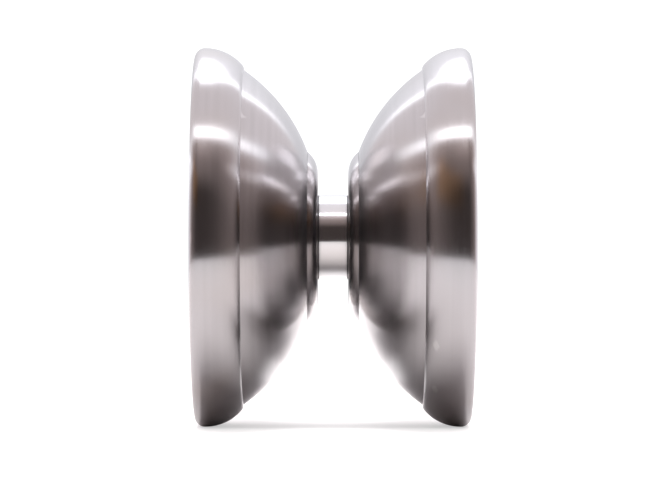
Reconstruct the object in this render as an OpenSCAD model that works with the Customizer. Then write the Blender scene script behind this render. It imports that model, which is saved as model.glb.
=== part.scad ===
// Wide metal yo-yo with a ball bearing: two turned halves joined by a headless axle screw.
// The spin axis is the X axis, +Z is up, and the origin is the centre of the bearing.
// All sizes are in millimetres.

/* [Overall] */
// Diameter over the rims
diameter = 57; // [56:0.5:60]
// Width over the two rim faces
width = 41.4; // [40:0.2:44]
// String gap between the walls of the two halves
gap = 4.6; // [4.4:0.05:4.7]

/* [Rim] */
// Width of the rim band on each half
rim_w = 7.3; // [6.5:0.1:8]
// Height of the step from the body up to the rim band
rim_step = 0.5; // [0.3:0.05:0.8]
// Radius of the rim band's crown
rim_crown_r = 7.4; // [7.1:0.1:9]
// Radius of the rim's outer corner
rim_corner_r = 1.5; // [1:0.1:2]
// Width of the flat face at the rim's side
rim_face_w = 1.5; // [1:0.1:2]

/* [Body and hub] */
// Radius of the body's long curve
body_curve_r = 25.75; // [24:0.25:28]
// Distance from the middle plane to the hub's shoulder
hub_x = 3.8; // [3.6:0.1:4.2]
// Radius of the hub at its shoulder
hub_r = 12.85; // [12.5:0.05:13.4]
// Radius of the hub's rounded edge
hub_round_r = 3.9; // [3.6:0.1:4.4]
// How far the hub's shoulder stands proud of the body
hub_step = 0.05; // [0.05:0.05:0.3]

/* [Cup] */
// Thickness of the body's wall
wall = 1; // [0.8:0.1:1.4]
// Thickness of metal between the gap's wall and the cup's floor
floor_t = 2.4; // [2.2:0.1:3.2]
// Radius of the boss in the middle of the cup
boss_r = 6.4; // [6:0.1:8]
// Height of the boss's rim above the cup's floor
boss_h = 6.4; // [6.4:0.1:7.5]
// Depth of the finger dimple in the boss
dimple_depth = 0.9; // [0.5:0.1:1]

/* [Bearing] */
// Bore of the bearing
bearing_bore = 6.35; // [6.35]
// Outside diameter of the bearing
bearing_od = 12.7; // [12.7]
// Width of the bearing's races
bearing_w = 4.76; // [4.76]
// Number of balls
ball_count = 8; // [6:1:8]
// Diameter of a ball
ball_d = 1.588; // [1.588]

/* [Axle screw] */
// Nominal thread diameter
screw_d = 4; // [4]
// Length of the screw
screw_l = 16; // [14:1:16]

/* [Response pads] */
// Inside diameter of a pad
pad_id = 14.2; // [14:0.1:15]
// Outside diameter of a pad
pad_od = 18.6; // [17.5:0.1:19]
// Thickness of a pad
pad_t = 0.9; // [0.7:0.1:1.1]

/* [Hidden] */
FACES = 128;
BALL_FACES = 48;
PAST = 1;

half_w = width / 2;
wall_x = gap / 2;
rim_x = half_w - rim_w;

// Centres are [radius, distance along the axis], in the plane that each profile is drawn in
hub_round_c = [
    hub_r - sqrt(hub_round_r * hub_round_r - pow(hub_round_r - (hub_x - wall_x), 2)),
    wall_x + hub_round_r
];
rim_crown_c = [diameter / 2 - rim_crown_r, half_w - rim_corner_r];
rim_start_r = rim_crown_c[0] + sqrt(pow(rim_crown_r, 2) - pow(rim_crown_c[1] - rim_x, 2));
body_curve_c = arc_centre([hub_r - hub_step, hub_x], [rim_start_r - rim_step, rim_x], body_curve_r);

inner_edge_r = 0.5;
cup_r = diameter / 2 - rim_corner_r - rim_face_w - inner_edge_r;
cup_floor_x = wall_x + floor_t;
cup_curve_r = body_curve_r - wall;
floor_fillet_r = 2.5;
floor_fillet_c = [
    body_curve_c[0] + sqrt(pow(cup_curve_r - floor_fillet_r, 2)
        - pow(body_curve_c[1] - cup_floor_x - floor_fillet_r, 2)),
    cup_floor_x + floor_fillet_r
];
fillet_share = floor_fillet_r / (cup_curve_r - floor_fillet_r);
floor_fillet_end = floor_fillet_c[1] - (body_curve_c[1] - floor_fillet_c[1]) * fillet_share;

boss_top = cup_floor_x + boss_h;
boss_edge_r = 0.6;
boss_root_r = 2;
dimple_r = ((boss_r - boss_edge_r) * (boss_r - boss_edge_r) + dimple_depth * dimple_depth)
    / (2 * dimple_depth);

race_x = bearing_w / 2;
slip = 0.02;
post_r = bearing_bore / 2 - slip;
post_end_x = 0.25;
post_chamfer = 0.2;
seat_x = race_x;
seat_r = 4;
relief_play = 0.3;
relief_depth = 0.25;
relief_r = bearing_od / 2 + relief_play;
relief_x = seat_x + relief_depth;
thread_play = 0.05;
screw_end_play = 0.3;
drill_half_angle = 59;
hole_r = screw_d / 2 + thread_play;
hole_depth = screw_l / 2 + screw_end_play;
drill_point = hole_r / tan(drill_half_angle);

pad_play = 0.03;
pad_recess = 0.1;
pad_x = wall_x + pad_recess;

race_corner_r = 0.3;
pitch_r = (bearing_bore + bearing_od) / 4;
track_play = 0.04;
track_r = ball_d / 2 + track_play;
outer_land_r = 5.3;
inner_land_r = 4.2;
shield_seat_x = 1.82;
shield_seat_r = 5.65;
shield_t = 0.2;
shield_play = 0.04;
ring_groove_r = 5.85;
ring_wire = 0.22;
ring_inner_r = 5.2;
ring_opening = 50;

cage_inner_r = 4.4;
cage_outer_r = 5.1;
cage_w = 2.3;
pocket_play = 0.06;
pocket_r = ball_d / 2 + pocket_play;

screw_chamfer = 0.5;
socket_af = 2;
socket_depth = 2.2;

TITANIUM = [0.62, 0.6, 0.59];
STEEL = [0.8, 0.8, 0.82];
DARK_STEEL = [0.35, 0.35, 0.37];
CAGE_STEEL = [0.68, 0.66, 0.62];
SILICONE = [0.25, 0.25, 0.27];

BALLS = [for (i = [1:ball_count]) str("ball_", i)];

// Centre of the arc from p to q that lies on the cup's side of them
function arc_centre(p, q, radius) =
    let (d = q - p, back = sqrt(radius * radius - d * d / 4))
    (p + q) / 2 + back * [-d[1], d[0]] / norm(d);

// Turns a profile round the spin axis
module turned() {
    rotate([0, 90, 0])
        rotate_extrude($fn = FACES)
            children();
}

// A band of the profile's plane: radii r0 to r1, from x0 to x1 along the axis
module band(r0, r1, x0, x1) {
    translate([r0, x0])
        square([r1 - r0, x1 - x0]);
}

module disc(centre, radius) {
    translate(centre)
        circle(radius, $fn = 2 * FACES);
}

module hub_profile() {
    intersection() {
        band(0, diameter, wall_x, hub_x);
        union() {
            band(0, hub_round_c[0], wall_x, hub_x);
            disc(hub_round_c, hub_round_r);
        }
    }
}

module body_profile() {
    intersection() {
        band(0, diameter, hub_x, rim_x);
        disc(body_curve_c, body_curve_r);
    }
}

module rim_profile() {
    corner_c = [diameter / 2 - rim_corner_r, half_w - rim_corner_r];
    band(0, rim_crown_c[0], rim_x, corner_c[1]);
    intersection() {
        band(0, diameter, rim_x, corner_c[1]);
        disc(rim_crown_c, rim_crown_r);
    }
    band(0, corner_c[0], corner_c[1], half_w);
    disc(corner_c, rim_corner_r);
}

// The hollow in the side of a half, with no boss in it yet
module hollow_profile() {
    intersection() {
        band(0, cup_r, floor_fillet_end, half_w + PAST);
        disc(body_curve_c, cup_curve_r);
    }
    disc(floor_fillet_c, floor_fillet_r);
    band(0, floor_fillet_c[0], cup_floor_x, cup_floor_x + 2 * floor_fillet_r);
    difference() {
        band(cup_r - PAST, cup_r + inner_edge_r, half_w - inner_edge_r, half_w + PAST);
        disc([cup_r + inner_edge_r, half_w - inner_edge_r], inner_edge_r);
    }
}

module boss_profile() {
    difference() {
        union() {
            band(0, boss_r, cup_floor_x - PAST, boss_top - boss_edge_r);
            band(0, boss_r - boss_edge_r, cup_floor_x, boss_top);
            disc([boss_r - boss_edge_r, boss_top - boss_edge_r], boss_edge_r);
            difference() {
                band(boss_r, boss_r + boss_root_r, cup_floor_x - PAST, cup_floor_x + boss_root_r);
                disc([boss_r + boss_root_r, cup_floor_x + boss_root_r], boss_root_r);
            }
        }
        disc([0, boss_top - dimple_depth + dimple_r], dimple_r);
    }
}

// Everything cut from the side of a half that faces the gap
module gap_side_cuts() {
    band(0, relief_r, 0, seat_x);
    band(seat_r, relief_r, 0, relief_x);
    band(pad_id / 2 - pad_play, pad_od / 2 + pad_play, 0, pad_x + pad_t);
}

module post_profile() {
    polygon([
        [0, post_end_x],
        [post_r - post_chamfer, post_end_x],
        [post_r, post_end_x + post_chamfer],
        [post_r, seat_x + PAST],
        [0, seat_x + PAST]
    ]);
}

module blind_hole_profile() {
    polygon([
        [0, 0],
        [hole_r, 0],
        [hole_r, hole_depth],
        [0, hole_depth + drill_point]
    ]);
}

module half_profile() {
    difference() {
        union() {
            difference() {
                union() {
                    hub_profile();
                    body_profile();
                    rim_profile();
                }
                hollow_profile();
                gap_side_cuts();
            }
            difference() {
                boss_profile();
                gap_side_cuts();
            }
            post_profile();
        }
        blind_hole_profile();
    }
}

module yoyo_half() {
    color(TITANIUM)
        turned()
            half_profile();
}

module response_pad() {
    color(SILICONE)
        turned()
            band(pad_id / 2, pad_od / 2, pad_x, pad_x + pad_t);
}

module axle_screw() {
    end_x = screw_l / 2;
    end_r = screw_d / 2 - screw_chamfer;
    color(DARK_STEEL)
        difference() {
            turned()
                polygon([
                    [0, -end_x],
                    [end_r, -end_x],
                    [screw_d / 2, -end_x + screw_chamfer],
                    [screw_d / 2, end_x - screw_chamfer],
                    [end_r, end_x],
                    [0, end_x]
                ]);
            translate([-end_x - PAST, 0, 0])
                rotate([0, 90, 0])
                    cylinder(h = PAST + socket_depth, d = socket_af / cos(30), $fn = 6);
        }
}

// Half of the outer race's width, from its middle outwards
module outer_race_side() {
    difference() {
        union() {
            band(outer_land_r, bearing_od / 2, 0, race_x - race_corner_r);
            band(outer_land_r, bearing_od / 2 - race_corner_r, 0, race_x);
            disc([bearing_od / 2 - race_corner_r, race_x - race_corner_r], race_corner_r);
        }
        band(0, shield_seat_r, shield_seat_x, race_x + PAST);
        band(0, ring_groove_r, shield_seat_x + shield_t, shield_seat_x + shield_t + ring_wire);
    }
}

module bearing_outer_race() {
    color(STEEL)
        turned()
            difference() {
                union() {
                    outer_race_side();
                    mirror([0, 1])
                        outer_race_side();
                }
                disc([pitch_r, 0], track_r);
            }
}

module bearing_inner_race() {
    color(STEEL)
        turned()
            difference() {
                band(bearing_bore / 2, inner_land_r, -race_x, race_x);
                disc([pitch_r, 0], track_r);
            }
}

// Puts a child at ball i's place on the pitch circle
module at_ball(i) {
    rotate([360 * (i - 1) / ball_count, 0, 0])
        translate([0, 0, pitch_r])
            children();
}

module ball(i) {
    color(STEEL)
        at_ball(i)
            sphere(d = ball_d, $fn = BALL_FACES);
}

module bearing_cage() {
    color(CAGE_STEEL)
        difference() {
            turned()
                band(cage_inner_r, cage_outer_r, -cage_w / 2, cage_w / 2);
            for (i = [1:ball_count])
                at_ball(i)
                    sphere(pocket_r, $fn = BALL_FACES);
        }
}

module shield() {
    color(DARK_STEEL)
        turned()
            band(inner_land_r + shield_play, shield_seat_r - shield_play,
                shield_seat_x, shield_seat_x + shield_t);
}

// An open ring: the opening lets it be pinched out of its groove
module snap_ring() {
    ring_r = ring_groove_r - shield_play;
    color(DARK_STEEL)
        rotate([ring_opening / 2, 0, 0])
            rotate([0, 90, 0])
                rotate_extrude(angle = 360 - ring_opening, $fn = FACES)
                    band(ring_inner_r, ring_r, shield_seat_x + shield_t,
                        shield_seat_x + shield_t + ring_wire);
}

module mirrored() {
    mirror([1, 0, 0])
        children();
}

mirrored() yoyo_half();  // left_half
yoyo_half();  // right_half
axle_screw();
mirrored() response_pad();  // response_pad_left
response_pad();  // response_pad_right
bearing_outer_race();
bearing_inner_race();
bearing_cage();
for (i = [1:ball_count]) {
    ball(i);
}
mirrored() shield();  // shield_left
shield();  // shield_right
mirrored() snap_ring();  // snap_ring_left
snap_ring();  // snap_ring_right
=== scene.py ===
"""Looks of a turned metal yo-yo with a ball bearing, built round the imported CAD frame.

The spin axis is X, +Z is up and the origin is the bearing's centre, as in the frame. Objects are in
metres. Outlines of turned parts are in millimetres, as pairs of distance along the axis and radius.
"""

import math

import bmesh
import bpy
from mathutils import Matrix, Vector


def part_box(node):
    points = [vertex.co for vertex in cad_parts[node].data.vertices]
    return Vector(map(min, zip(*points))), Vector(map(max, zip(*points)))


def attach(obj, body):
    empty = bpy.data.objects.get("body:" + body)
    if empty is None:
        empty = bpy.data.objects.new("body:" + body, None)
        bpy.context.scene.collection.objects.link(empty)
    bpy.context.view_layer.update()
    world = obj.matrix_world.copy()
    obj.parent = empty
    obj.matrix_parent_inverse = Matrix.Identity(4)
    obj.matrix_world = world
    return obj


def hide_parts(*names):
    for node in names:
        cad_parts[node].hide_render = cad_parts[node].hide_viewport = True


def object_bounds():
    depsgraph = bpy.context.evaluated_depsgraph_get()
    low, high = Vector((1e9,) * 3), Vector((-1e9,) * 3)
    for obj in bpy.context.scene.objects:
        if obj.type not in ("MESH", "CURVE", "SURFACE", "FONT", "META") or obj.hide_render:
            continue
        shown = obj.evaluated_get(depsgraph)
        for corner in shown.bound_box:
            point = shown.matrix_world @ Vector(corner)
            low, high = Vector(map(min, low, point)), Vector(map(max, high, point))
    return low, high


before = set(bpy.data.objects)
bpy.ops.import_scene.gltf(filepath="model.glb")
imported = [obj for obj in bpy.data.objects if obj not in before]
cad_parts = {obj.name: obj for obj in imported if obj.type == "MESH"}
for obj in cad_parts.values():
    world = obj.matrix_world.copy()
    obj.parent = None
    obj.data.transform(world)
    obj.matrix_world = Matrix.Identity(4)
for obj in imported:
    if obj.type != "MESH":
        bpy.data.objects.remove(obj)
CAD_LOW, CAD_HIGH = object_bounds()
bpy.context.scene.view_settings.view_transform = "Standard"

MM = 0.001
DEGREES = 180 / math.pi

# Sizes in millimetres. These come from the frame.
HALF_WIDTH = CAD_HIGH.x / MM
RIM_R = -CAD_LOW.z / MM
POST_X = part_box("right_half")[0].x / MM
RACE_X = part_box("bearing_outer_race")[1].x / MM
RACE_R = -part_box("bearing_outer_race")[0].z / MM
SCREW_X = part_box("axle_screw")[1].x / MM
PAD_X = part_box("response_pad_right")[0].x / MM
PAD_END_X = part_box("response_pad_right")[1].x / MM
PAD_R = -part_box("response_pad_right")[0].z / MM

# These are the design's own, and are the same as in the CAD model
WALL_X = 2.3
RIM_WIDTH = 7.3
RIM_STEP = 0.5
RIM_CORNER = 1.5
CROWN = 7.4
HUB_X, HUB_R = 3.8, 12.85
HUB_STEP = 0.05
BODY_CURVE = 25.75


class Graph:
    """A node tree that is built one node at a time. A value is a number, a tuple or a socket."""

    def __init__(self, tree):
        self.tree = tree
        self.tree.nodes.clear()

    def set(self, socket, value):
        if isinstance(value, bpy.types.NodeSocket):
            self.tree.links.new(value, socket)
        else:
            socket.default_value = value

    def add(self, kind, inputs=(), **settings):
        """Adds a node, sets its properties, and fills its inputs from (name or index, value) pairs."""
        node = self.tree.nodes.new("ShaderNode" + kind)
        for key, value in settings.items():
            setattr(node, key, value)
        for key, value in inputs:
            self.set(node.inputs[key], value)
        return node

    def math(self, operation, *values):
        return self.add("Math", enumerate(values), operation=operation).outputs[0]

    def ease(self, value, start, end, low=0.0, high=1.0):
        """Goes smoothly from low to high while value goes from start to end."""
        inputs = enumerate((value, start, end, low, high))
        return self.add("MapRange", inputs, interpolation_type="SMOOTHSTEP").outputs[0]

    def blend(self, share, low, high):
        """Goes in a straight line from low to high as share goes from 0 to 1."""
        return self.add("MapRange", [(0, share), (3, low), (4, high)]).outputs[0]

    def opaque(self, colour):
        """Adds an alpha of one to a colour that is a tuple."""
        return (*colour, 1) if isinstance(colour, tuple) else colour

    def mix(self, share, low, high):
        """Goes from one colour to another as share goes from 0 to 1."""
        inputs = [(0, share), (6, self.opaque(low)), (7, self.opaque(high))]
        return self.add("Mix", inputs, data_type="RGBA").outputs[2]


# Studio. Angles are in degrees. Azimuth goes from 0 towards the camera to 180 straight behind, and
# a left azimuth is negative on the right.


def in_degrees(g, radians):
    return g.math("MULTIPLY", radians, DEGREES)


def cone_angle(g, direction, lean):
    """Angle between a direction and an axis that leans back from the zenith."""
    axis = (0, math.sin(math.radians(lean)), math.cos(math.radians(lean)))
    along = g.add("VectorMath", [(0, direction), (1, axis)], operation="DOT_PRODUCT").outputs["Value"]
    return in_degrees(g, g.math("ARCCOSINE", along))


def line(g, value, centre, half_width, softness):
    """One at the centre, and falling to nothing on both sides of it."""
    away = g.math("ABSOLUTE", g.math("SUBTRACT", value, centre))
    return g.ease(away, half_width, half_width + softness, 1.0, 0.0)


def tent_light(g, direction, azimuth):
    """Light of the tent: a round top that leans back, a dark front and bright walls behind."""
    top_lean, top_light, wall_light = 32.0, 1.0, 1.25
    from_top = cone_angle(g, direction, top_lean)
    near_top = g.ease(from_top, 57.0, 78.0, 0.45, 0.0)
    far_down = g.ease(from_top, 76.0, 96.0, 0.18, 0.0)
    ahead = g.ease(azimuth, 15.0, 50.0, 1.15, 0.5)
    to_side = g.ease(azimuth, 15.0, 95.0, 0.05, 0.20)
    front = g.math("ADD", g.math("MULTIPLY", g.math("ADD", near_top, far_down), ahead), to_side)
    walls = g.blend(g.ease(azimuth, 80.0, 125.0), front, wall_light)
    return g.blend(g.ease(from_top, 54.0, 58.0), top_light, walls)


def tent_edges(g, direction, azimuth):
    """Light of the top's bright edge, which fades towards the back, and of a seam beside it."""
    top_lean, top_edge, seam_lean, seam = 32.0, 56.0, 21.7, 67.9
    edge = line(g, cone_angle(g, direction, top_lean), top_edge, 1.5, 2.5)
    edge = g.math("MULTIPLY", edge, g.ease(azimuth, 40.0, 130.0, 4.5, 0.0))
    side_seam = line(g, cone_angle(g, direction, seam_lean), seam, 1.0, 2.5)
    side_seam = g.math("MULTIPLY", side_seam, g.ease(azimuth, 60.0, 90.0, 0.0, 0.5))
    return g.math("ADD", edge, side_seam)


def back_panel(g, azimuth, elevation):
    """Share and light of a panel with round corners, straight behind, with a bright top and edge."""
    half_width = g.ease(elevation, 0.0, 60.0, 32.0, 44.0)
    height, roundness = 74.0, 4.0
    behind = g.math("SUBTRACT", 180.0, azimuth)
    across = g.math("POWER", g.math("DIVIDE", behind, half_width), roundness)
    upward = g.math("POWER", g.math("DIVIDE", elevation, height), roundness)
    outwards = g.math("POWER", g.math("ADD", across, upward), 1.0 / roundness)
    inside = g.ease(outwards, 0.95, 1.03, 1.0, 0.0)
    edge = g.math("MULTIPLY", line(g, outwards, 0.95, 0.03, 0.06), g.ease(elevation, 12.0, 38.0))
    glow = g.math("MAXIMUM", g.ease(elevation, 38.0, 47.0), edge)
    plain = g.ease(elevation, 5.0, 40.0, 0.85, 1.4)
    return inside, g.math("ADD", plain, g.math("MULTIPLY", glow, 1.8))


def build_world():
    """What the metal mirrors: a light tent, a bright panel behind and something warm at the left."""
    world = bpy.data.worlds.new("studio")
    world.use_nodes = True
    bpy.context.scene.world = world
    g = Graph(world.node_tree)
    direction = g.add("TexCoord").outputs["Generated"]
    x, y, z = g.add("SeparateXYZ", [(0, direction)]).outputs
    elevation = in_degrees(g, g.math("ARCSINE", z))
    to_left, to_front = (g.math("MULTIPLY", part, -1.0) for part in (x, y))
    left_azimuth = in_degrees(g, g.math("ARCTAN2", to_left, to_front))
    azimuth = g.math("ABSOLUTE", left_azimuth)

    inside, panel_light = back_panel(g, azimuth, elevation)
    tent = g.blend(inside, tent_light(g, direction, azimuth), panel_light)
    light = g.math("ADD", tent, tent_edges(g, direction, azimuth))

    dim_tint, bright_tint, warm_tint = (1.24, 1.0, 0.97), (1.0, 1.0, 1.05), (1.6, 0.97, 0.6)
    brightness = g.math("MAXIMUM", g.ease(light, 0.1, 1.45), inside)
    warm = g.math("MULTIPLY", line(g, left_azimuth, 42.0, 24.0, 14.0), line(g, elevation, 27.0, 4.0, 11.0))
    colour = g.mix(warm, g.mix(brightness, dim_tint, bright_tint), warm_tint)
    seen = g.add("Background", [("Color", (1, 1, 1, 1)), ("Strength", 1.2)])
    lit = g.add("Background", [("Color", colour), ("Strength", light)])
    is_camera = g.add("LightPath").outputs["Is Camera Ray"]
    mix = g.add("MixShader", [(0, is_camera), (1, lit.outputs[0]), (2, seen.outputs[0])])
    g.add("OutputWorld", [("Surface", mix.outputs[0])])


def floor_glow(g, x, y):
    """Light that the metal sees in the floor: behind the object, and in the strip below its gap."""
    strip = g.math("MULTIPLY", g.ease(g.math("ABSOLUTE", x), 0.002, 0.006, 1.0, 0.0),
                   g.ease(y, -0.004, 0.010, 0.0, 0.6))
    return g.math("MAXIMUM", g.ease(y, 0.0, 0.08, 0.0, 0.6), strip)


def floor_lift(g, y):
    """Light that takes the floor up to the background's white, less of it in the object's shadow."""
    in_shadow, in_the_open = 0.50, 0.75
    open_floor = g.math("MAXIMUM", g.ease(y, -0.010, 0.0, 1.0, 0.0), g.ease(y, 0.02, 0.07))
    return g.blend(open_floor, in_shadow, in_the_open)


def build_floor(low):
    """A round pale table top that ends before the camera, with painted shade that darkens it towards its
    front.

    It glows where the camera and the metal see it: painted light that lifts it to white, and a painted
    glow that the metal mirrors.
    """
    radius, centre_y, segments = 0.24, 0.10, 192
    bm = bmesh.new()
    bmesh.ops.create_circle(bm, cap_ends=True, radius=radius, segments=segments)
    bmesh.ops.translate(bm, verts=bm.verts, vec=(0, centre_y, low.z))
    mesh = bpy.data.meshes.new("floor")
    bm.to_mesh(mesh)
    bm.free()
    floor = bpy.data.objects.new("floor", mesh)
    bpy.context.scene.collection.objects.link(floor)
    material = bpy.data.materials.new("paper")
    material.use_nodes = True
    g = Graph(material.node_tree)
    x, y, _ = g.add("SeparateXYZ", [(0, g.add("TexCoord").outputs["Object"])]).outputs
    # Painted shade: the paper's colour darkens towards the front edge, and is lighter and warmer near the
    # object.
    shaded_front_edge, warm_near_object = (0.50, 0.50, 0.50), (0.61, 0.585, 0.58)
    colour = g.mix(g.ease(y, centre_y - radius, 0.0), shaded_front_edge, warm_near_object)
    paper = g.add("BsdfDiffuse", [("Color", colour)])
    path = g.add("LightPath")
    seen = g.math("MULTIPLY", path.outputs["Is Camera Ray"], floor_lift(g, y))
    mirrored = g.math("MULTIPLY", path.outputs["Is Glossy Ray"], floor_glow(g, x, y))
    light = g.add("Emission", [("Strength", g.math("ADD", seen, mirrored))])
    both = g.add("AddShader", [(0, paper.outputs[0]), (1, light.outputs[0])])
    g.add("OutputMaterial", [("Surface", both.outputs[0])])
    material.cycles.emission_sampling = "NONE"
    mesh.materials.append(material)


def build_key_light():
    """A soft lamp above and in front, which only matt surfaces see."""
    data = bpy.data.lights.new("key", "AREA")
    data.shape = "DISK"
    data.size = 0.30
    data.energy = 3.2
    key = bpy.data.objects.new("key", data)
    key.location = (0, -0.05, 0.5)
    key.rotation_euler = (math.atan2(-key.location.y, key.location.z), 0, 0)
    key.visible_glossy = False
    bpy.context.scene.collection.objects.link(key)


def build_camera():
    """Looks straight at the gap from the front, at the height of the axis, through a long lens."""
    data = bpy.data.cameras.new("camera")
    data.sensor_width = 36.0
    data.lens = 192.2
    data.shift_x, data.shift_y = -0.0123, -0.004
    data.clip_start, data.clip_end = 0.01, 20.0
    camera = bpy.data.objects.new("camera", data)
    camera.location = (0, -0.523, 0)
    camera.rotation_euler = (math.radians(90), 0, 0)
    bpy.context.scene.collection.objects.link(camera)
    bpy.context.scene.camera = camera


# Shapes


def arc(centre, start, end, step=4.0):
    """Points on the shorter arc about centre from start to end, one every step degrees or less."""
    first = math.atan2(start[1] - centre[1], start[0] - centre[0])
    last = math.atan2(end[1] - centre[1], end[0] - centre[0])
    sweep = math.remainder(last - first, math.tau)
    radius = math.dist(centre, start)
    count = math.ceil(abs(sweep) * DEGREES / step)
    angles = [first + sweep * i / count for i in range(count + 1)]
    return [(centre[0] + radius * math.cos(a), centre[1] + radius * math.sin(a)) for a in angles]


def thread(start, end, radius, depth, pitch=0.7):
    """Outline points of a right-hand thread, cut inwards from radius, or outwards if depth is negative."""
    rows_per_turn, crest = 8, 0.15
    count = round(abs(end - start) / pitch * rows_per_turn)

    def radius_at(x):
        run_out = min(1.0, abs(x - start) / pitch, abs(end - x) / pitch)

        def at_angle(angle):
            wave = abs((x / pitch - angle / math.tau) % 1.0 * 2 - 1)
            cut = min(1.0, max(0.0, (wave - crest) / (1 - 2 * crest)))
            return radius - depth * cut * run_out

        return at_angle

    along = [start + (end - start) * i / count for i in range(count + 1)]
    return [(x, radius_at(x)) for x in along]


def turned(name, outline, segments, closed=False):
    """Turns an outline round the X axis. Where a radius is a function, it is called with the angle."""
    bm = bmesh.new()
    rows = []
    for x, radius in outline:
        row = []
        for i in range(segments if radius else 1):
            angle = math.tau * i / segments
            r = radius(angle) if callable(radius) else radius
            row.append(bm.verts.new((x * MM, -r * math.sin(angle) * MM, r * math.cos(angle) * MM)))
        rows.append(row)
    if closed:
        rows.append(rows[0])
    for low, high in zip(rows, rows[1:]):
        for i in range(segments):
            j = i + 1
            ring = (low[i % len(low)], low[j % len(low)], high[j % len(high)], high[i % len(high)])
            bm.faces.new(dict.fromkeys(ring))
    bmesh.ops.recalc_face_normals(bm, faces=bm.faces)
    mesh = bpy.data.meshes.new(name)
    bm.to_mesh(mesh)
    bm.free()
    mesh.shade_smooth()
    mesh.set_sharp_from_angle(angle=math.radians(20))
    piece = bpy.data.objects.new(name, mesh)
    bpy.context.scene.collection.objects.link(piece)
    return piece


def arc_centre(start, end, radius):
    """Centre of the arc from start to end, on the side towards the cup."""
    across = (end[0] - start[0], end[1] - start[1])
    chord = math.hypot(*across)
    back = math.sqrt(radius**2 - chord**2 / 4) / chord
    middle = ((start[0] + end[0]) / 2, (start[1] + end[1]) / 2)
    return (middle[0] + back * across[1], middle[1] - back * across[0])


RIM_X = HALF_WIDTH - RIM_WIDTH
CROWN_CENTRE = (HALF_WIDTH - RIM_CORNER, RIM_R - CROWN)
RIM_START = (RIM_X, CROWN_CENTRE[1] + math.sqrt(CROWN**2 - (CROWN_CENTRE[0] - RIM_X) ** 2))
BODY_START = (HUB_X, HUB_R - HUB_STEP)
BODY_END = (RIM_X, RIM_START[1] - RIM_STEP)
BODY_CENTRE = arc_centre(BODY_START, BODY_END, BODY_CURVE)


def hole_outline(side):
    """The blind threaded hole in the middle of a half, from its drilled tip to its mouth."""
    radius, countersink, thread_depth = 2.05, 0.3, 0.3
    end_play, drill_half_angle = 0.3, 59
    depth = SCREW_X + end_play
    tip = depth + radius / math.tan(math.radians(drill_half_angle))
    wall = thread(side * depth, side * (POST_X + countersink), radius, -thread_depth)
    return [(side * tip, 0), *wall, (side * POST_X, radius + countersink)]


def gap_side_outline():
    """From the post's end over the bearing's seat, the relief round it and the pad's groove."""
    post_r, chamfer, edge = 3.155, 0.2, 0.06
    seat_r, relief_width, relief_depth = 4.0, 0.3, 0.25
    relief_r, relief_x = RACE_R + relief_width, RACE_X + relief_depth
    groove_in, groove_play = 7.07, 0.03
    groove_out = PAD_R + groove_play
    return [
        (POST_X, post_r - chamfer),
        (POST_X + chamfer, post_r),
        (RACE_X, post_r),
        (RACE_X, seat_r),
        (relief_x, seat_r),
        (relief_x, relief_r),
        (WALL_X + edge, relief_r),
        (WALL_X, relief_r + edge),
        (WALL_X, groove_in - edge),
        (WALL_X + edge, groove_in),
        (PAD_END_X, groove_in),
        (PAD_END_X, groove_out),
        (WALL_X + edge, groove_out),
        (WALL_X, groove_out + edge),
    ]


def outside_outline():
    """The hub, the long curve of the body and the crowned rim, out to the rim's flat face.

    The rim's step has a broken edge, whose points are measured from its sharp corner.
    """
    hub_round = 3.9
    hub_rise = math.sqrt(hub_round**2 - (WALL_X + hub_round - HUB_X) ** 2)
    hub_centre = (WALL_X + hub_round, HUB_R - hub_rise)
    corner_centre = (HALF_WIDTH - RIM_CORNER, RIM_R - RIM_CORNER)
    broken_edge = [(0.0, -0.16), (0.03, -0.06), (0.09, 0.03)]
    return [
        *arc(hub_centre, (WALL_X, hub_centre[1]), (HUB_X, HUB_R)),
        *arc(BODY_CENTRE, BODY_START, BODY_END, 1.5),
        *[(RIM_START[0] + x, RIM_START[1] + r) for x, r in broken_edge],
        *arc(CROWN_CENTRE, RIM_START, (CROWN_CENTRE[0], RIM_R), 2.5)[1:],
        *arc(corner_centre, (corner_centre[0], RIM_R), (HALF_WIDTH, corner_centre[1]), 6.0)[1:],
    ]


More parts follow.
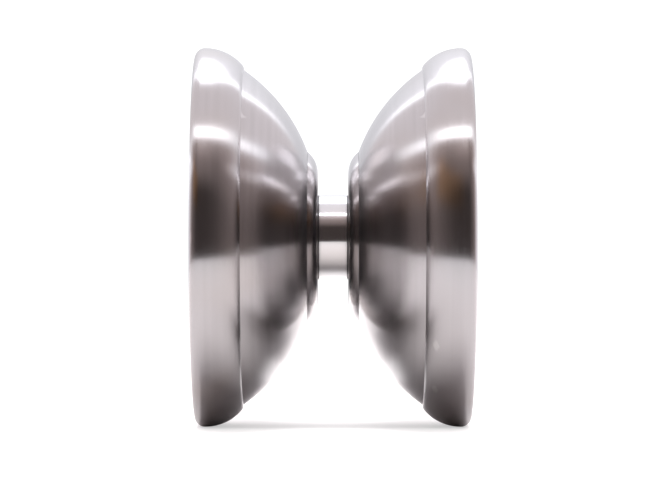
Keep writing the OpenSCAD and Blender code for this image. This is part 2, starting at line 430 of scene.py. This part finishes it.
def cup_outline():
    """The hollow in a half's side, from the rim's face down to the floor and up over the boss."""
    face_width, mouth_edge = 1.5, 0.5
    face_r = RIM_R - RIM_CORNER - face_width
    mouth_r = face_r - mouth_edge
    body_wall, floor_thickness, fillet = 1.0, 2.4, 2.5
    curve = BODY_CURVE - body_wall
    floor_x = WALL_X + floor_thickness
    boss_r, boss_height, boss_edge, boss_root = 6.4, 6.4, 0.6, 2.0
    boss_x = floor_x + boss_height
    dimple_depth = 0.9
    dimple_curve = ((boss_r - boss_edge) ** 2 + dimple_depth**2) / (2 * dimple_depth)

    mouth_end_x = BODY_CENTRE[0] - math.sqrt(curve**2 - (mouth_r - BODY_CENTRE[1]) ** 2)
    fillet_x = floor_x + fillet
    fillet_rise = math.sqrt((curve - fillet) ** 2 - (BODY_CENTRE[0] - fillet_x) ** 2)
    fillet_centre = (fillet_x, BODY_CENTRE[1] + fillet_rise)
    reach = curve / (curve - fillet)
    meeting = tuple(c + (f - c) * reach for c, f in zip(BODY_CENTRE, fillet_centre))
    root_centre = (floor_x + boss_root, boss_r + boss_root)
    edge_centre = (boss_x - boss_edge, boss_r - boss_edge)
    dimple_bottom = (boss_x - dimple_depth, 0)
    dimple_centre = (dimple_bottom[0] + dimple_curve, 0)
    mouth_centre = (HALF_WIDTH - mouth_edge, face_r)
    return [
        *arc(mouth_centre, (HALF_WIDTH, face_r), (mouth_centre[0], mouth_r), 9.0),
        *arc(BODY_CENTRE, (mouth_end_x, mouth_r), meeting, 1.5),
        *arc(fillet_centre, meeting, (floor_x, fillet_centre[1]))[1:],
        *arc(root_centre, (floor_x, root_centre[1]), (root_centre[0], boss_r), 6.0),
        *arc(edge_centre, (edge_centre[0], boss_r), (boss_x, edge_centre[1]), 9.0),
        *arc(dimple_centre, (boss_x, edge_centre[1]), dimple_bottom, 2.0)[1:-1],
        dimple_bottom,
    ]


def build_half(name, side, body, titanium):
    """One half in one piece. Side is 1 on the right and -1 on the left."""
    along = [*gap_side_outline(), *outside_outline(), *cup_outline()]
    outline = hole_outline(side) + [(side * x, r) for x, r in along]
    half = turned(name + "_turned", outline, 256)
    finish_piece(half, titanium, body, name)


def build_outer_race(steel):
    """The ring that the string rides on, with rounded outer corners, shield steps and a ball track."""
    corner, land_r, shield_r, shield_x = 0.30, 5.3, 5.65, 1.82
    shield_t, groove_r, groove_w = 0.2, 5.85, 0.22
    groove_x = shield_x + shield_t
    track, pitch_r = 0.834, 4.7625
    track_x = math.sqrt(track**2 - (land_r - pitch_r) ** 2)
    corner_x, corner_r = RACE_X - corner, RACE_R - corner
    right = [
        (shield_x, land_r),
        (shield_x, shield_r),
        (groove_x, shield_r),
        (groove_x, groove_r),
        (groove_x + groove_w, groove_r),
        (groove_x + groove_w, shield_r),
        (RACE_X, shield_r),
        *arc((corner_x, corner_r), (RACE_X, corner_r), (corner_x, RACE_R), 7.5),
    ]
    left = [(-x, r) for x, r in reversed(right)]
    ball_track = arc((0, pitch_r), (-track_x, land_r), (track_x, land_r), 7.5)
    race = turned("outer_race_turned", [*ball_track, *right, *left], 192, closed=True)
    finish_piece(race, steel, "outer_ring", "bearing_outer_race")


def build_axle_screw(steel):
    """A headless screw with a rolled thread and a hexagon socket in its left end."""
    radius, point, depth, socket_depth, half_flats = 2.0, 0.5, 0.42, 2.2, 1.0

    def hexagon(angle):
        return half_flats / math.cos(angle % (math.pi / 3) - math.pi / 6)

    rim = (SCREW_X, radius - point)
    outline = [
        (socket_depth - SCREW_X, 0),
        (socket_depth - SCREW_X, hexagon),
        (-SCREW_X, hexagon),
        (-rim[0], rim[1]),
        *thread(point - SCREW_X, SCREW_X - point, radius, depth),
        rim,
        (SCREW_X, 0),
    ]
    screw = turned("axle_screw_threaded", outline, 192)
    finish_piece(screw, steel, "left_side", "axle_screw")


def build_response_pad(name, side, body, rubber):
    """A flat silicone ring with softly rounded edges."""
    soft, inner = 0.16, 7.1
    start, end = PAD_X + soft, PAD_END_X - soft
    low, high = inner + soft, PAD_R - soft
    corners = [
        ((start, low), (start, inner), (PAD_X, low)),
        ((start, high), (PAD_X, high), (start, PAD_R)),
        ((end, high), (end, PAD_R), (PAD_END_X, high)),
        ((end, low), (PAD_END_X, low), (end, inner)),
    ]
    outline = [(side * x, r) for centre, first, last in corners for x, r in arc(centre, first, last, 15)]
    pad = turned(name + "_cast", outline, 192, closed=True)
    finish_piece(pad, rubber, body, name)


def finish_piece(piece, material, body, node):
    """Gives a piece its material and body, and hides its CAD node so that the piece shows in its place."""
    piece.data.materials.append(material)
    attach(piece, body)
    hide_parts(node)


# Materials


def round_the_axis(g, per_mm):
    """Distance along the axis and radius, which are the same all the way round a turned part."""
    position = g.add("TexCoord").outputs["Object"]
    x, y, z = g.add("SeparateXYZ", [(0, position)]).outputs
    squares = g.math("ADD", g.math("MULTIPLY", y, y), g.math("MULTIPLY", z, z))
    flat = g.add("CombineXYZ", [(0, x), (1, g.math("SQRT", squares))]).outputs[0]
    return g.add("VectorMath", [(0, flat), ("Scale", per_mm / MM)], operation="SCALE").outputs[0]


def noise(g, vector, scale=1.0, detail=2.0):
    """Soft random variation round one half, with more fine detail as detail goes up."""
    return g.add("TexNoise", [("Vector", vector), ("Scale", scale), ("Detail", detail)]).outputs[0]


def scuff_and_shade_mask(g, position, scuffed_and_shaded_to):
    """One on the walls of the gap near the middle, where the string rubs them rough and painted shade
    darkens them.
    """
    softness = 0.1
    from_middle = g.math("ABSOLUTE", g.add("SeparateXYZ", [(0, position)]).outputs[0])
    return g.ease(from_middle, scuffed_and_shaded_to * MM, (scuffed_and_shaded_to + softness) * MM, 1.0, 0.0)


def metal(name, colours, roughness, grain, marks_per_mm, mark_height, scuffed_and_shaded_to=0.0):
    """Turned metal: tool marks run round the axis, so reflections spread along it.

    Convex edges are polished by handling, and some patches are a little dull or warm. Where a reach
    is given, the gap walls closer to the middle are scuffed rougher and darkened with painted shade.
    """
    material = bpy.data.materials.new(name)
    material.use_nodes = True
    g = Graph(material.node_tree)
    position = g.add("TexCoord").outputs["Object"]
    lines_per_mark, line_height = 3.0, 0.5
    marks = noise(g, round_the_axis(g, marks_per_mm))
    lines = noise(g, round_the_axis(g, marks_per_mm * lines_per_mark), detail=1.0)
    height = g.math("ADD", marks, g.math("MULTIPLY", lines, line_height))
    handled = g.ease(noise(g, position, 90.0, 3.0), 0.45, 0.75)
    cloud = noise(g, position, 45.0)
    edge = g.ease(g.add("NewGeometry").outputs["Pointiness"], 0.53, 0.62)

    warmth, polish = (1.0, 0.965, 0.93), 1.12
    warm = tuple(c * w for c, w in zip(colours[0], warmth))
    polished = tuple(min(1.0, c * polish) for c in colours[1])
    colour = g.mix(g.ease(cloud, 0.45, 0.7), g.mix(marks, *colours), warm)
    colour = g.mix(edge, colour, polished)
    handled_roughness, polish_gain = 0.035, 0.25 * roughness[0]
    rough = g.math("ADD", g.blend(lines, *roughness), g.math("MULTIPLY", handled, handled_roughness))
    rough = g.math("SUBTRACT", rough, g.math("MULTIPLY", edge, polish_gain))
    if scuffed_and_shaded_to:
        # The gap walls are rougher where the string rubs, and their colour is darkened with painted shade.
        scuff_and_shade_colour, scuffed_roughness = (0.38, 0.36, 0.36), 0.18
        scuff_and_shade = scuff_and_shade_mask(g, position, scuffed_and_shaded_to)
        rough = g.math("ADD", rough, g.math("MULTIPLY", scuff_and_shade, scuffed_roughness))
        colour = g.mix(scuff_and_shade, colour, scuff_and_shade_colour)
    bump = g.add("Bump", [("Distance", mark_height * MM), ("Height", height)]).outputs[0]
    shader = g.add("BsdfPrincipled", [
        ("Base Color", colour),
        ("Metallic", 1.0),
        ("Roughness", rough),
        ("Anisotropic", grain),
        ("Anisotropic Rotation", 0.25),
        ("Tangent", g.add("Tangent", direction_type="RADIAL", axis="X").outputs[0]),
        ("Normal", bump),
    ])
    g.add("OutputMaterial", [("Surface", shader.outputs[0])])
    return material


def silicone():
    """Dark grey cast rubber with a faint grain and a little string dust."""
    material = bpy.data.materials.new("silicone_cast")
    material.use_nodes = True
    g = Graph(material.node_tree)
    position = g.add("TexCoord").outputs["Object"]
    rubber, string_dust, grain_height = (0.045, 0.045, 0.05), (0.13, 0.13, 0.135), 0.02
    grain = noise(g, position, 2500.0)
    dust = g.ease(noise(g, position, 700.0, 4.0), 0.4, 0.8)
    shader = g.add("BsdfPrincipled", [
        ("Base Color", g.mix(dust, rubber, string_dust)),
        ("Roughness", g.blend(grain, 0.42, 0.58)),
        ("Normal", g.add("Bump", [("Distance", grain_height * MM), ("Height", grain)]).outputs[0]),
    ])
    g.add("OutputMaterial", [("Surface", shader.outputs[0])])
    return material


def paint_cad_nodes(materials):
    """Gives each CAD node that stays the better material of its slot."""
    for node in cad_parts.values():
        for slot in node.material_slots:
            slot.material = materials.get(slot.material.name, slot.material)


def main():
    build_world()
    build_floor(CAD_LOW)
    build_key_light()
    build_camera()
    titanium = metal(
        "titanium", ((0.48, 0.463, 0.470), (0.545, 0.526, 0.535)),
        roughness=(0.15, 0.26), grain=0.8, marks_per_mm=1.4, mark_height=0.005, scuffed_and_shaded_to=WALL_X + 0.02)
    ground = metal(
        "ground_steel", ((0.70, 0.70, 0.72), (0.76, 0.76, 0.78)),
        roughness=(0.10, 0.18), grain=0.5, marks_per_mm=4.0, mark_height=0.0006)
    mirror = metal(
        "mirror_steel", ((0.66, 0.66, 0.68), (0.70, 0.70, 0.72)),
        roughness=(0.05, 0.08), grain=0.0, marks_per_mm=2.0, mark_height=0.0001)
    pressed = metal(
        "pressed_steel", ((0.46, 0.46, 0.47), (0.54, 0.54, 0.55)),
        roughness=(0.22, 0.34), grain=0.4, marks_per_mm=3.0, mark_height=0.001)
    dark = metal(
        "dark_steel", ((0.10, 0.10, 0.105), (0.16, 0.16, 0.165)),
        roughness=(0.26, 0.40), grain=0.3, marks_per_mm=3.0, mark_height=0.001)
    rubber = silicone()
    for name, side, body in (("left", -1, "left_side"), ("right", 1, "right_side")):
        build_half(name + "_half", side, body, titanium)
        build_response_pad("response_pad_" + name, side, body, rubber)
    build_outer_race(ground)
    build_axle_screw(dark)
    paint_cad_nodes({
        "race_steel": ground,
        "ball_steel": mirror,
        "cage_steel": pressed,
        "shield_steel": pressed,
        "spring_wire": dark,
    })


main()
